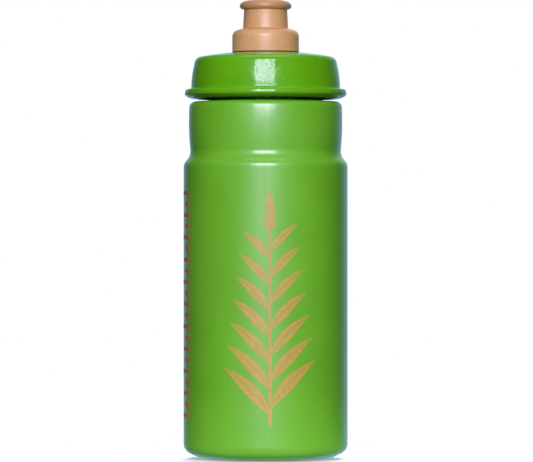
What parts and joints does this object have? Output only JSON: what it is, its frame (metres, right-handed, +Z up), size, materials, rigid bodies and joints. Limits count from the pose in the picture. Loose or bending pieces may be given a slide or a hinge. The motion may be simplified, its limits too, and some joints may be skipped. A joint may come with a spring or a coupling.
{
  "type": "cycling water bottle",
  "caption": "Cylindrical squeeze bottle with a finger groove, a screw-on domed lid and a push-pull drinking nozzle.",
  "frame": {"origin": "centre of the base, on the surface that the bottle stands on", "axes": "+Z up along the bottle's axis, -Y towards the printed front"},
  "size_m": [0.074, 0.074, 0.2074],
  "materials": {
    "body_plastic": "soft satin squeeze plastic, leaf green",
    "lid_plastic": "glossy moulded plastic, deeper leaf green",
    "nozzle_rubber": "smooth soft-touch rubber, warm tan",
    "valve_plastic": "natural off-white moulded plastic",
    "seal_rubber": "pale grey silicone",
    "print_ink": "thin tan-gold screen print",
    "mark_ink": "thin rust-orange screen print"
  },
  "bodies": {
    "bottle": {"bottle_body": "body_plastic"},
    "seal_ring": {"lid_gasket": "seal_rubber"},
    "lid": {"lid_shell": "lid_plastic", "spout_post": "valve_plastic", "post_seal": "seal_rubber", "valve_plug": "valve_plastic"},
    "nozzle": {"nozzle_sleeve": "valve_plastic", "nozzle_skin": "nozzle_rubber"}
  },
  "joints": [
    {"name": "lid_lift", "type": "slide", "parent": "bottle", "child": "seal_ring", "axis": [0, 0, 1], "range_m": [0, 0.0075]},
    {"name": "lid_turn", "type": "hinge", "parent": "seal_ring", "child": "lid", "pos_m": [0, 0, 0.17], "axis": [0, 0, 1], "range_deg": [0, 540]},
    {"name": "nozzle_pull", "type": "slide", "parent": "lid", "child": "nozzle", "axis": [0, 0, 1], "range_m": [0, 0.0058]}
  ],
  "couplings": [
    {"joint": "lid_lift", "follows": "lid_turn", "m_per_rad": 0.00079577}
  ]
}
